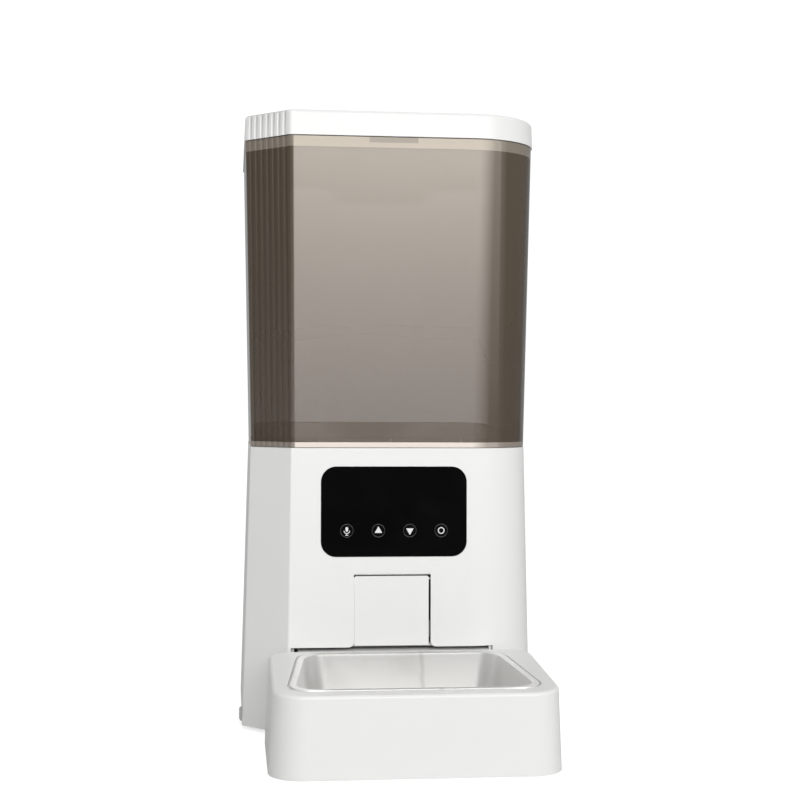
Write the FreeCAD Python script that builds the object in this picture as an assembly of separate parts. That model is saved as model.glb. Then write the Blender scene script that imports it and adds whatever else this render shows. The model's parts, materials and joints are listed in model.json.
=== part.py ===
# Automatic dry-food feeder: a square tower (housing, smoked hopper, lid) over a
# docked feeding tray with a steel bowl.
# Frame: +Z up, -Y towards the tray, +X to the right as seen from the tray.
# The origin is on the floor, under the middle of the whole object. Units: mm.
import FreeCAD, Part
import math
import os
from FreeCAD import Placement, Rotation, Vector

# ---------------------------------------------------------------- driving dimensions
tower_width = 190.0
tower_depth = 190.0
tray_reach = 110.0            # tray front to tower front
foot_height = 2.0
seam_z = 181.0                # top edge of the housing, foot of the hopper
hopper_top_z = 377.0
lid_bottom_z = 377.6
lid_top_z = 393.5
wall = 2.5                    # moulded wall of the housing and the tray
tank_wall = 2.2               # moulded wall of the hopper
corner_cut = 27.9             # flat corner, front left
corner_round = 46.0           # round corner, front right
back_round = 30.0             # round corners at the back
edge_round = 3.0              # edges of the flat corner
housing_draft = 4.65          # how far the housing leans in, from foot to seam
hopper_inset_low = 4.95
hopper_inset_top = 0.7

# places worked out from the driving dimensions
half_width = tower_width / 2
front_y = tray_reach / 2 - tower_depth / 2
back_y = front_y + tower_depth
tray_front_y = front_y - tray_reach
lean = math.degrees(math.atan(housing_draft / (seam_z - foot_height)))

# control panel
panel_w = 92.4
panel_h = 56.6
panel_low_z = 112.6
panel_t = 2.4
panel_corner = 9.5
key_pitch = 20.0
key_z = 129.0
key_r = 3.8
key_travel = 0.6

# food path
drop_y = front_y + 97.0       # axis of the dosing wheel
chamber_r = 35.0
chamber_low_z = 116.0
chamber_top_z = 150.0
outlet_w = 48.8
outlet_x = -0.9
outlet_top_z = 101.9
shell_edge_z = 55.6           # lower edge of the housing's front
flap_pin_z = 98.2
flap_t = 2.2
flap_sink = 0.9               # how far the flap lies behind the housing's face
flap_pin_in = 4.3             # depth of the flap's pin behind the housing's face

# tray and bowl
tray_x = 3.0                  # middle of the tray
tray_half_top = 81.8
tray_half_foot = 84.4
tray_corner = 20.0
tray_front_z = 46.8
tray_back_z = 54.0
tray_tilt = math.degrees(math.atan((tray_back_z - tray_front_z) / tray_reach))
lip_front_half = 74.5
lip_back_half = 64.0
lip_length = 90.0
lip_front_y = tray_front_y + 12.0
lip_corner = 13.0
bowl_depth = 30.0
steel = 0.8

# drive
gear_module = 1.0
wheel_teeth = 36
pinion_teeth = 12
gear_z = 103.0
gear_t = 6.0
pinion_y = drop_y + gear_module * (wheel_teeth + pinion_teeth) / 2


# ---------------------------------------------------------------- helpers
def save(name, *solids):
    """Writes one named node; several solids become one group."""
    shape = solids[0] if len(solids) == 1 else Part.makeCompound(list(solids))
    for solid in shape.Solids:
        if not solid.isValid():
            print("NOT VALID", name)
    print(name, len(shape.Solids), "solids", round(shape.Volume), "mm3")
    shape.exportStep("parts/" + name + ".step")


def box(x0, x1, y0, y1, z0, z1):
    """A box between six planes."""
    return Part.makeBox(x1 - x0, y1 - y0, z1 - z0, Vector(x0, y0, z0))


def rod(x, y, z0, z1, radius):
    """An upright cylinder."""
    return Part.makeCylinder(radius, z1 - z0, Vector(x, y, z0), Vector(0, 0, 1))


def rounded_wire(corners, z):
    """A closed wire through corners (x, y, radius), each rounded by an arc."""
    count = len(corners)
    starts = []
    ends = []
    mids = []
    for i in range(count):
        x, y, radius = corners[i]
        here = Vector(x, y, z)
        before = Vector(corners[i - 1][0], corners[i - 1][1], z) - here
        after = Vector(corners[(i + 1) % count][0], corners[(i + 1) % count][1], z) - here
        before.normalize()
        after.normalize()
        half = before.getAngle(after) / 2
        reach = radius / math.tan(half)
        middle = before + after
        middle.normalize()
        starts.append(here + before * reach)
        ends.append(here + after * reach)
        mids.append(here + middle * (radius / math.sin(half) - radius))
    edges = []
    for i in range(count):
        edges.append(Part.Arc(starts[i], mids[i], ends[i]).toShape())
        edges.append(Part.LineSegment(ends[i], starts[(i + 1) % count]).toShape())
    return Part.Wire(edges)


def prism(corners, z0, z1):
    """A solid that stands on a rounded outline."""
    return Part.Face(rounded_wire(corners, z0)).extrude(Vector(0, 0, z1 - z0))


def loft(low, low_z, high, high_z):
    """A straight-sided solid between two rounded outlines of the same pattern."""
    return Part.makeLoft([rounded_wire(low, low_z), rounded_wire(high, high_z)], True, True)


def tower_outline(inset):
    """The tower's plan, moved inwards by inset: one flat corner, three round ones."""
    step = inset * math.tan(math.radians(22.5))
    left = -half_width + inset
    right = half_width - inset
    low = front_y + inset
    high = back_y - inset
    soft = max(edge_round - 0.4 * inset, 0.6)
    return [
        (left + corner_cut - inset + step, low, soft),
        (right, low, corner_round - inset),
        (right, high, back_round - inset),
        (left, high, back_round - inset),
        (left, low + corner_cut - inset + step, soft),
    ]


def tower_loft(inset_low, z_low, inset_high, z_high):
    """A solid between two plans of the tower."""
    return loft(tower_outline(inset_low), z_low, tower_outline(inset_high), z_high)


def front_place():
    """The housing's front face: local X right, Z up the face, Y into the housing."""
    return Placement(Vector(0, front_y, foot_height), Rotation(Vector(1, 0, 0), -lean))


def on_front(shape):
    """Moves a shape from the front face's own frame to the object's frame."""
    shape.Placement = front_place().multiply(shape.Placement)
    return shape


def front_plate(x, z, width, height, corner, y0, y1):
    """A plate with rounded corners in the front face's frame, between two depths."""
    half_w = width / 2
    half_h = height / 2
    corners = [
        (-half_w, -half_h, corner),
        (half_w, -half_h, corner),
        (half_w, half_h, corner),
        (-half_w, half_h, corner),
    ]
    plate = prism(corners, 0, y1 - y0)
    plate.rotate(Vector(0, 0, 0), Vector(1, 0, 0), 90)
    plate.translate(Vector(x, y1, z - foot_height))
    return plate


def front_rod(x, z, radius, y0, y1):
    """A round bar square to the front face, in that face's frame."""
    return Part.makeCylinder(radius, y1 - y0, Vector(x, y0, z - foot_height), Vector(0, 1, 0))


def cut_all(shape, tools):
    """Cuts every tool from a shape."""
    return shape.cut(Part.makeCompound(tools))


def corner_grooves(inset_low, z_low, inset_high, z_high):
    """Seven shallow grooves that run up the flat corner."""
    groove_r = 1.7
    groove_sink = 0.75
    pitch = corner_cut * math.sqrt(2) / 8
    outward = Vector(-1, -1, 0)
    outward.normalize()
    along = Vector(1, -1, 0)
    along.normalize()
    tools = []
    for number in range(-3, 4):
        ends = []
        for inset, z in ((inset_low, z_low), (inset_high, z_high)):
            middle = Vector(-half_width + corner_cut / 2, front_y + corner_cut / 2, z)
            face = middle - outward * inset
            ends.append(face + along * (number * pitch) + outward * (groove_r - groove_sink))
        run = ends[1] - ends[0]
        start = ends[0] - run * 0.02
        tools.append(Part.makeCylinder(groove_r, run.Length * 1.04, start, run))
    return tools


def housing_inset(z):
    """How far the housing's outer face has leant in at a height."""
    return housing_draft * (z - foot_height) / (seam_z - foot_height)


def gear(teeth, x, y, z0, z1, turn):
    """A spur gear with involute flanks, thinned a little for backlash."""
    pressure = math.radians(20)
    pitch_r = gear_module * teeth / 2
    base_r = pitch_r * math.cos(pressure)
    tip_r = pitch_r + 0.9 * gear_module
    root_r = pitch_r - 1.2 * gear_module
    half_tooth = 0.42 * math.pi / teeth
    flank_at_pitch = math.tan(pressure) - pressure
    points = []
    for tooth in range(teeth):
        centre = turn + 2 * math.pi * tooth / teeth
        flank = []
        for step in range(5):
            radius = max(root_r, base_r) + (tip_r - max(root_r, base_r)) * step / 4
            alpha = math.acos(min(1.0, base_r / radius))
            spread = half_tooth + flank_at_pitch - (math.tan(alpha) - alpha)
            flank.append((radius, spread))
        if root_r < base_r:
            flank.insert(0, (root_r, flank[0][1]))
        for radius, spread in flank:
            points.append(Vector(x + radius * math.cos(centre - spread),
                                 y + radius * math.sin(centre - spread), z0))
        for radius, spread in reversed(flank):
            points.append(Vector(x + radius * math.cos(centre + spread),
                                 y + radius * math.sin(centre + spread), z0))
    points.append(points[0])
    return Part.Face(Part.makePolygon(points)).extrude(Vector(0, 0, z1 - z0))


# ---------------------------------------------------------------- lid
liner_t = 2.0
liner_bottom_z = 370.6
skirt_inset = 4.1
desiccant_half = 32.0
desiccant_low_z = 354.0
desiccant_y = front_y + 95.0


def make_lid_shell():
    """Shallow cap with a rounded top edge and the ribbed corner."""
    body = tower_loft(0, lid_bottom_z, 0.5, lid_top_z)
    top_edges = [e for e in body.Edges if e.BoundBox.ZMin > lid_top_z - 0.01]
    body = body.makeFillet(2.4, top_edges)
    body = body.cut(tower_loft(wall, lid_bottom_z - 1, wall + 0.4, lid_top_z - wall))
    return cut_all(body, corner_grooves(0, lid_bottom_z, 0.5, lid_top_z))


def make_lid_liner():
    """Plate inside the cap, with the skirt that plugs into the hopper."""
    plate = prism(tower_outline(wall + 0.15), lid_bottom_z, lid_bottom_z + liner_t)
    skirt = prism(tower_outline(skirt_inset), liner_bottom_z, lid_bottom_z + 0.5)
    bore = prism(tower_outline(skirt_inset + 2.0), liner_bottom_z - 1, lid_bottom_z)
    body = plate.fuse(skirt).removeSplitter()
    return body.cut(bore)


def make_lid_seal():
    """Soft ring on the skirt, against the hopper's inside."""
    low = lid_bottom_z - 5.0
    high = low + 2.4
    outer = prism(tower_outline(skirt_inset - 0.75), low, high)
    return outer.cut(prism(tower_outline(skirt_inset), low - 1, high + 1))


def make_desiccant_box():
    """Square cup under the liner, open below."""
    half = desiccant_half
    outer = box(-half, half, desiccant_y - half, desiccant_y + half, desiccant_low_z, lid_bottom_z)
    inner = box(-half + 1.6, half - 1.6, desiccant_y - half + 1.6, desiccant_y + half - 1.6,
                desiccant_low_z - 1, lid_bottom_z - 1.6)
    return outer.cut(inner)


def make_desiccant_pack():
    """The drying sachet in the cup."""
    half = desiccant_half - 4.0
    sachet = box(-half, half, desiccant_y - half, desiccant_y + half,
                 lid_bottom_z - 15.6, lid_bottom_z - 1.9)
    return sachet.makeFillet(4.0, sachet.Edges)


def make_desiccant_door():
    """Slotted cover that swings down from a barrel at the cup's back."""
    half = desiccant_half
    low = desiccant_low_z - 2.4
    plate = box(-half, half, desiccant_y - half, desiccant_y + half - 1.5, low, low + 1.8)
    slots = []
    for number in range(-3, 4):
        x = number * 8.0
        slots.append(box(x - 1.6, x + 1.6, desiccant_y - 22, desiccant_y + 22, low - 1, low + 3))
    barrel = Part.makeCylinder(1.3, 2 * half - 8, Vector(-half + 4, desiccant_y + half, low + 0.9),
                               Vector(1, 0, 0))
    tongue = box(-half + 6, half - 6, desiccant_y + half - 2, desiccant_y + half, low + 0.1, low + 1.7)
    return cut_all(plate, slots).fuse(tongue).fuse(barrel).removeSplitter()


# ---------------------------------------------------------------- hopper
def make_hopper_tank():
    """Smoked tube, wider at the top, with the ribbed corner."""
    low = seam_z + 0.4
    body = tower_loft(hopper_inset_low, low, hopper_inset_top, hopper_top_z)
    rise = (hopper_inset_low - hopper_inset_top) / (hopper_top_z - low)
    inner = tower_loft(hopper_inset_low + tank_wall + rise, low - 1,
                       hopper_inset_top + tank_wall - rise, hopper_top_z + 1)
    body = cut_all(body, corner_grooves(hopper_inset_low, low, hopper_inset_top, hopper_top_z))
    return body.cut(inner)


# ---------------------------------------------------------------- housing
bay_left = -65.0
bay_right = 63.5
jack_x = 62.0
jack_z = 24.0
cell_r = 16.4
cell_pitch = 35.0
cell_y = back_y - 26.0
cell_low_z = 13.0
cell_length = 60.0
door_half = 55.0
door_low_z = 9.0
door_high_z = 79.0
door_pin_z = door_low_z + 1.3
door_pin_y = back_y - 1.45
grille_z = 118.0
catch_y = front_y + 40.0
catch_length = 14.0
catch_proud = 1.8
catch_top_z = 9.0


def make_housing_shell():
    """Drafted tube with the panel window, the food outlet, the tray bay and the back openings."""
    body = tower_loft(0, foot_height, housing_draft, seam_z)
    rise = housing_draft / (seam_z - foot_height)
    inner = tower_loft(wall - rise, foot_height - 1, housing_draft + wall + rise, seam_z + 1)
    body = body.cut(inner)
    window = front_plate(0, panel_low_z + panel_h / 2, panel_w + 0.5, panel_h + 0.5,
                         panel_corner + 0.25, -6, 8)
    # the outlet is open to the housing's lower edge, with small round corners where they meet
    notch = front_plate(outlet_x, (outlet_top_z + 20) / 2, outlet_w, outlet_top_z - 20, 1.0, -6, 8)
    flare_r = 3.5
    flares = []
    for side in (-1, 1):
        edge = outlet_x + side * outlet_w / 2
        block = box(min(edge, edge + side * flare_r), max(edge, edge + side * flare_r), -6, 8,
                    shell_edge_z - foot_height - 1, shell_edge_z - foot_height + flare_r)
        keep = front_rod(edge + side * flare_r, shell_edge_z + flare_r, flare_r, -7, 9)
        flares.append(on_front(block.cut(keep)))
    bay = box(bay_left, bay_right, front_y - 6, front_y + 12, 0, shell_edge_z)
    door_gap = box(-door_half - 0.4, door_half + 0.4, back_y - 12, back_y + 4,
                   door_low_z - 0.4, door_high_z + 0.4)
    jack_gap = Part.makeCylinder(4.4, 20, Vector(jack_x + 8, back_y - 14, jack_z + 72), Vector(0, 1, 0))
    tools = [on_front(window), on_front(notch), bay, door_gap, jack_gap] + flares
    for side in (-1, 1):
        tools.append(side_block(side, half_width + 4, 0.3, 0, catch_top_z + 0.3))
    for number in range(5):
        z = grille_z + number * 5.0
        tools.append(box(-62, -34, back_y - 14, back_y + 4, z, z + 2.2))
    return cut_all(body, tools)


def make_base_plate():
    """Floor of the tower, with a small catch at each side."""
    body = prism(tower_outline(wall + 0.3), foot_height + 0.4, foot_height + 3.4)
    for side in (-1, 1):
        catch = side_block(side, half_width + catch_proud, 0, foot_height + 0.4, catch_top_z)
        outer = [e for e in catch.Edges if abs(e.BoundBox.Center.x) > half_width + catch_proud - 0.01]
        body = body.fuse(catch.makeChamfer(1.0, outer))
    tools = []
    for x, y in foot_places():
        tools.append(rod(x, y, 0, foot_height + 1.4, 9.3))
    for x, y in post_places():
        tools.append(rod(x, y, foot_height - 1, foot_height + 2.35, 3.3))
        tools.append(rod(x, y, foot_height - 1, foot_height + 5, 1.5))
    return cut_all(body.removeSplitter(), tools)


def side_block(side, reach, grow, low, high):
    """A block through the housing's side wall, at a base catch."""
    near = side * (half_width - wall - 2)
    far = side * reach
    return box(min(near, far), max(near, far), catch_y - grow, catch_y + catch_length + grow, low, high)


def foot_places():
    """Middles of the four feet."""
    return [(-58, front_y + 34), (58, front_y + 38), (-62, back_y - 18), (62, back_y - 18)]


def post_places():
    """Middles of the four posts that carry the funnel."""
    return [(-76, front_y + 48), (74, front_y + 52), (-76, back_y - 30), (76, back_y - 30)]


def make_feet():
    """Four rubber discs."""
    feet = []
    for x, y in foot_places():
        disc = rod(x, y, 0, foot_height + 1.4, 9.0)
        rim = [e for e in disc.Edges if e.BoundBox.ZMax < 0.01]
        feet.append(disc.makeFillet(0.8, rim))
    return feet


def make_posts():
    """Four posts from the base plate to the funnel."""
    posts = []
    for x, y in post_places():
        post = rod(x, y, foot_height + 3.4, seam_z - 1.2, 4.6)
        posts.append(post.cut(rod(x, y, foot_height + 2, foot_height + 14, 1.3)))
    return posts


def make_base_screws():
    """Four screws up through the base plate into the posts."""
    screws = []
    for x, y in post_places():
        head = rod(x, y, foot_height + 0.5, foot_height + 2.3, 3.0)
        shank = rod(x, y, foot_height + 2.0, foot_height + 13, 1.2)
        slot = box(x - 2, x + 2, y - 0.4, y + 0.4, foot_height, foot_height + 1.3)
        screws.append(head.fuse(shank).removeSplitter().cut(slot))
    return screws


def make_bay_liner():
    """Box around the tray's tongue, open in front and below."""
    outer = box(bay_left + 0.4, bay_right - 0.4, front_y + 5.5, front_y + 54, 5.6, 57.4)
    inner = box(bay_left + 2.2, bay_right - 2.2, front_y + 2, front_y + 52.2, 5, 55.6)
    return outer.cut(inner)


# ---------------------------------------------------------------- food path
deck_z = seam_z + 3.0
deck_t = 4.0
deck_inset = hopper_inset_low + tank_wall + 0.9
collar_rise = 11.0            # the deck's collar is higher at the back
collar_front = 0.4            # its height in front
funnel_r = 80.0               # the funnel's mouth
funnel_flare = 4.0
funnel_t = 1.6
rib_x = -2.0                  # the middle one of three small ribs
rib_pitch = 45.0
rib_rise = 3.2
rib_t = 1.2
duct_half = 22.0
duct_wall = 2.0
flange_back = 11.5            # the flange behind the outlet's gaps
flange_t = 1.5
flange_over = 1.0
flange_low_z = 60.0
slit_low_z = 71.0             # the flange is open to the right above this


def make_funnel_deck():
    """White floor of the hopper: a collar that slopes forward, over the hole above the dosing wheel."""
    low = deck_z - deck_t
    collar_top = deck_z + collar_rise
    y_front = front_y + deck_inset
    y_back = back_y - deck_inset
    plate = prism(tower_outline(deck_inset), low, collar_top)
    slope = [
        Vector(-half_width, y_front, deck_z + collar_front),
        Vector(-half_width, y_back, collar_top),
        Vector(-half_width, y_back, 2 * collar_top),
        Vector(-half_width, y_front, 2 * collar_top),
        Vector(-half_width, y_front, deck_z + collar_front),
    ]
    above = Part.Face(Part.makePolygon(slope)).extrude(Vector(tower_width, 0, 0))
    plate = plate.cut(above)
    cone_low = chamber_top_z + 0.3
    cone_out = Part.makeCone(chamber_r + 2.4, funnel_r + funnel_t, low - cone_low,
                             Vector(0, drop_y, cone_low), Vector(0, 0, 1))
    body = plate.fuse(cone_out)
    cone_in = Part.makeCone(chamber_r - 1, funnel_r, deck_z - chamber_top_z,
                            Vector(0, drop_y, chamber_top_z), Vector(0, 0, 1))
    mouth = Part.makeCone(funnel_r, funnel_r + funnel_flare, collar_rise + 2,
                          Vector(0, drop_y, deck_z - 0.01), Vector(0, 0, 1))
    body = cut_all(body, [cone_in, mouth]).removeSplitter()
    for number in (-1, 0, 1):
        x = rib_x + number * rib_pitch
        rib = box(x - rib_t / 2, x + rib_t / 2, y_front + 0.2, y_front + 3.0,
                  deck_z - 0.5, deck_z + rib_rise)
        body = body.fuse(rib)
    return body.removeSplitter()


def make_dosing_chamber():
    """Round cup under the funnel, with a gate in the front of its floor."""
    outer = rod(0, drop_y, chamber_low_z, chamber_top_z, chamber_r + 2.5)
    inner = rod(0, drop_y, chamber_low_z + 2.5, chamber_top_z + 1, chamber_r)
    gate = box(-15, 15, drop_y - 32, drop_y - 13.5, chamber_low_z - 1, chamber_low_z + 4)
    bush = rod(0, drop_y, chamber_low_z - 1, chamber_low_z + 4, 4.06)
    return cut_all(outer, [inner, gate, bush])


def chute_prism(points, half):
    """A solid from a side view, spread to both sides of the outlet."""
    loop = [Vector(outlet_x - half, y, z) for y, z in points]
    loop.append(loop[0])
    return Part.Face(Part.makePolygon(loop)).extrude(Vector(2 * half, 0, 0))


def make_chute():
    """Sloping square duct from the dosing chamber to the outlet."""
    top_z = chamber_low_z - 0.2
    mouth_y = front_y + 8.0
    back_top = drop_y - 13.0
    front_top = drop_y - 34.0
    inner = [(mouth_y - 1, 61.0), (back_top, top_z + 1), (front_top, top_z + 1), (mouth_y - 1, 93.0)]
    outer = [(mouth_y, 59.4), (mouth_y, 95.6), (front_top - 2, top_z), (back_top + 2.4, top_z)]
    body = chute_prism(outer, duct_half)
    # a flange closes the gap between the duct and the outlet's left, top and lower right edges
    y = front_y + flange_back
    half = outlet_w / 2 + flange_over
    flange = box(outlet_x - half, outlet_x + half, y, y + flange_t, flange_low_z, outlet_top_z + 4)
    slit = box(outlet_x + duct_half, outlet_x + half, y, y + flange_t, slit_low_z, outlet_top_z + 4)
    body = body.fuse(flange.cut(slit)).removeSplitter()
    return body.cut(chute_prism(inner, duct_half - duct_wall))


def make_rotor():
    """Soft six-bladed dosing wheel."""
    low = chamber_low_z + 3.2
    high = chamber_top_z - 3.0
    hub = rod(0, drop_y, low, high, 9.0)
    for number in range(6):
        blade = box(0, chamber_r - 0.8, -1.3, 1.3, low, high)
        blade.rotate(Vector(0, 0, 0), Vector(0, 0, 1), number * 60 + 30)
        blade.translate(Vector(0, drop_y, 0))
        hub = hub.fuse(blade)
    hub = hub.removeSplitter()
    return hub.cut(rod(0, drop_y, low - 1, high - 4, 4.05))


def make_rotor_shaft():
    """Steel shaft from the gear up into the wheel."""
    return rod(0, drop_y, gear_z - 0.2, chamber_top_z - 7.3, 4.0)


def make_agitator():
    """Two-armed stirrer on the wheel's hub."""
    low = chamber_top_z - 3.0
    stem = rod(0, drop_y, low, low + 9, 4.5)
    arm = Part.makeCylinder(2.0, 44, Vector(-22, drop_y, low + 7), Vector(1, 0, 0))
    return stem.fuse(arm).removeSplitter()


# ---------------------------------------------------------------- drive
def make_drive_gear():
    """Gear under the chamber, on the shaft."""
    body = gear(wheel_teeth, 0, drop_y, gear_z, gear_z + gear_t, math.pi / 2)
    return body.cut(rod(0, drop_y, gear_z - 1, gear_z + gear_t + 1, 4.05))


def make_motor_pinion():
    """Small gear on the gearbox's output, half a pitch round so that the teeth mesh."""
    turn = -math.pi / 2 + math.pi / pinion_teeth
    body = gear(pinion_teeth, 0, pinion_y, gear_z, gear_z + gear_t, turn)
    stub = rod(0, pinion_y, 96.5, gear_z + 1, 2.4)
    return body.fuse(stub).removeSplitter()


def make_gearbox():
    """Reduction gearbox under the bracket."""
    body = box(-22, 22, pinion_y - 11, pinion_y + 29, 82, 99.4)
    uprights = [e for e in body.Edges if abs(e.BoundBox.ZLength - 17.4) < 0.01]
    body = body.makeFillet(4.0, uprights)
    return body.cut(rod(0, pinion_y, 96, 101, 2.7))


def make_motor_can():
    """Round motor below the gearbox."""
    can = rod(0, pinion_y + 9, 44, 82, 12.0)
    rims = [e for e in can.Edges if e.BoundBox.ZLength < 0.01]
    return can.makeFillet(1.2, rims)


def motor_screw_places():
    """Middles of the gearbox's four screws."""
    return [(x, y) for x in (-17, 17) for y in (pinion_y - 6, pinion_y + 24)]


def make_motor_bracket():
    """Steel channel that carries the gearbox, standing on the base plate."""
    low_y = pinion_y - 12
    high_y = pinion_y + 30
    top = box(-34, 34, low_y, high_y, 99.6, 101.4)
    body = top
    for side in (-1, 1):
        leg_x = side * 34
        leg = box(min(leg_x, leg_x - side * 1.8), max(leg_x, leg_x - side * 1.8), low_y, low_y + 24,
                  foot_height + 3.6, 101.4)
        toe = box(min(leg_x, leg_x + side * 8), max(leg_x, leg_x + side * 8), low_y, low_y + 24,
                  foot_height + 3.6, foot_height + 5.4)
        body = body.fuse(leg).fuse(toe)
    holes = [rod(0, pinion_y, 98, 103, 6.0), box(-36, -31, pinion_y + 2, pinion_y + 12, 82, 90)]
    for x, y in motor_screw_places():
        holes.append(rod(x, y, 98, 103, 1.7))
    return cut_all(body.removeSplitter(), holes)


def make_motor_screws():
    """Four pan-head screws that hold the gearbox to the bracket."""
    screws = []
    for x, y in motor_screw_places():
        head = rod(x, y, 101.4, 102.5, 2.8)
        screws.append(head.fuse(rod(x, y, 99.5, 101.6, 1.5)).removeSplitter())
    return screws


# ---------------------------------------------------------------- control panel
def key_places():
    """Middles of the four keys along the panel."""
    return [(-1.5 + number) * key_pitch for number in range(4)]


def make_panel_lens():
    """Gloss black window, a hair proud of the housing, with four round key holes."""
    lens = front_plate(0, panel_low_z + panel_h / 2, panel_w, panel_h, panel_corner, -0.3, panel_t - 0.3)
    rim = [e for e in lens.Edges if e.BoundBox.YMax < -0.29]
    lens = lens.makeChamfer(0.25, rim)
    holes = [front_rod(x, key_z, key_r + 0.3, -2, 4) for x in key_places()]
    return on_front(cut_all(lens, holes))


def make_key(x):
    """One round key: a dished cap on a short stem with a retaining collar."""
    cap = front_rod(x, key_z, key_r, -0.35, 2.3)
    rim = [e for e in cap.Edges if e.BoundBox.YMax < -0.34]
    cap = cap.makeFillet(0.35, rim)
    collar = front_rod(x, key_z, key_r + 0.9, 2.5, 3.1)
    stem = front_rod(x, key_z, 2.0, 2.0, 3.9)
    return on_front(cap.fuse(collar).fuse(stem).removeSplitter())


def make_display_board():
    """Circuit board behind the panel."""
    board = front_plate(0, panel_low_z + panel_h / 2, 86, 50, 2.0, 8.6, 10.2)
    return on_front(board)


def make_display_module():
    """Lamp block behind the upper part of the panel."""
    return on_front(front_plate(0, panel_low_z + 38, 56, 20, 1.0, 2.6, 8.5))


def make_key_switches():
    """Four snap switches on the board, one behind each key."""
    switches = []
    for x in key_places():
        body = box(x - 3, x + 3, 5.6, 8.5, key_z - foot_height - 3, key_z - foot_height + 3)
        plunger = front_rod(x, key_z, 1.6, 4.7, 6.0)
        switches.append(on_front(body.fuse(plunger).removeSplitter()))
    return switches


def make_panel_frame():
    """Frame that holds the lens and the board to the housing's inside."""
    middle = panel_low_z + panel_h / 2
    outer = front_plate(0, middle, panel_w + 9, panel_h + 7, 10.0, wall + 0.15, 8.4)
    inner = front_plate(0, middle, panel_w - 1.5, panel_h - 1.5, 8.0, 2, 9)
    return on_front(outer.cut(inner))


def make_microphone():
    """Small round microphone behind the panel's voice key."""
    return on_front(front_rod(-41.5, panel_low_z + 30, 3.0, 4.5, 8.5))


# ---------------------------------------------------------------- electronics and power
def make_main_board():
    """Upright circuit board at the left wall."""
    board = box(-83.6, -82.0, drop_y - 34, drop_y + 36, 30, 92)
    holes = []
    for y in (drop_y - 30, drop_y + 32):
        for z in (34, 88):
            holes.append(Part.makeCylinder(1.6, 4, Vector(-85, y, z), Vector(1, 0, 0)))
    return cut_all(board, holes)


def make_board_parts():
    """Radio module, driver, capacitor and sockets on the main board."""
    face = -81.9
    radio = box(face, face + 3.2, drop_y - 26, drop_y - 8, 62, 86)
    driver = box(face, face + 1.8, drop_y - 2, drop_y + 10, 40, 52)
    sockets = [box(face, face + 6, drop_y + 16, drop_y + 22, z, z + 10) for z in (38, 52, 66)]
    capacitor = Part.makeCylinder(4, 10, Vector(face, drop_y + 4, 72), Vector(1, 0, 0))
    return [radio, driver, capacitor] + sockets


def ribbon(points, z0, z1, half):
    """A flat cable standing on edge along a plan route."""
    pieces = []
    for i in range(len(points) - 1):
        start = Vector(points[i][0], points[i][1], z0)
        run = Vector(points[i + 1][0], points[i + 1][1], z0) - start
        strip = Part.makeBox(run.Length, 2 * half, z1 - z0, Vector(0, -half, 0))
        strip.rotate(Vector(0, 0, 0), Vector(0, 0, 1), math.degrees(math.atan2(run.y, run.x)))
        strip.translate(start)
        pieces.append(strip)
    for x, y in points[1:-1]:
        pieces.append(rod(x, y, z0, z1, half))
    body = pieces[0]
    for piece in pieces[1:]:
        body = body.fuse(piece)
    return body.removeSplitter()


def make_panel_ribbon():
    """Flat cable from the display board to the main board."""
    route = [(-38, front_y + 13.8), (-44, front_y + 22), (-66, front_y + 34), (-76, drop_y - 22),
             (-81.2, drop_y - 18)]
    return ribbon(route, 112, 122, 0.5)


def make_motor_ribbon():
    """Flat cable from the gearbox to the main board."""
    route = [(-22.6, pinion_y + 8), (-50, pinion_y + 6), (-70, drop_y + 22), (-75.6, drop_y + 19)]
    return ribbon(route, 84, 88, 0.5)


def make_speaker():
    """Round loudspeaker behind the slots in the back."""
    y = back_y - wall - housing_inset(grille_z) - 8.0
    cup = Part.makeCylinder(14, 6, Vector(-48, y, grille_z + 11), Vector(0, 1, 0))
    magnet = Part.makeCylinder(8, 6, Vector(-48, y - 5, grille_z + 11), Vector(0, 1, 0))
    return cup.fuse(magnet).removeSplitter()


def make_battery_box():
    """Tray for three round cells, open to the back."""
    outer = box(-door_half, door_half, cell_y - 19.6, back_y - 5.2, 7.0, 80.6)
    inner = box(-door_half + 1.6, door_half - 1.6, cell_y - 18, back_y, 8.6, 79.0)
    return outer.cut(inner)


def cell_places():
    """Middles of the three cells."""
    return [(number * cell_pitch, cell_y) for number in (-1, 0, 1)]


def make_battery_cells():
    """Three round cells, each with its raised end."""
    cells = []
    for x, y in cell_places():
        can = rod(x, y, cell_low_z, cell_low_z + cell_length - 2, cell_r)
        rims = [e for e in can.Edges if e.BoundBox.ZLength < 0.01]
        can = can.makeFillet(1.0, rims)
        button = rod(x, y, cell_low_z + cell_length - 3, cell_low_z + cell_length, 4.5)
        cells.append(can.fuse(button).removeSplitter())
    return cells


def make_battery_contacts():
    """Spring plates below the cells and flat plates above them."""
    plates = []
    for x, y in cell_places():
        plates.append(box(x - 10, x + 10, y - 8, y + 8, 8.7, 9.3))
        plates.append(Part.makeCone(7, 4, 3.4, Vector(x, y, 9.3), Vector(0, 0, 1)))
        plates.append(box(x - 10, x + 10, y - 8, y + 8, cell_low_z + cell_length + 0.2, 78.9))
    return plates


def make_battery_door():
    """Door in the back, hung on a barrel along its lower edge, with a finger recess."""
    plate = box(-door_half, door_half, back_y - 2.3, back_y - 0.2, door_pin_z, door_high_z)
    plate.rotate(Vector(0, back_y, foot_height), Vector(1, 0, 0), lean)
    barrel = Part.makeCylinder(1.25, 2 * door_half, Vector(-door_half, door_pin_y, door_pin_z),
                               Vector(1, 0, 0))
    recess = Part.makeCylinder(9, 6, Vector(0, back_y - 1.4 - housing_inset(70), 70), Vector(0, 1, 0))
    body = plate.fuse(barrel).removeSplitter()
    return body.cut(recess)


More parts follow.
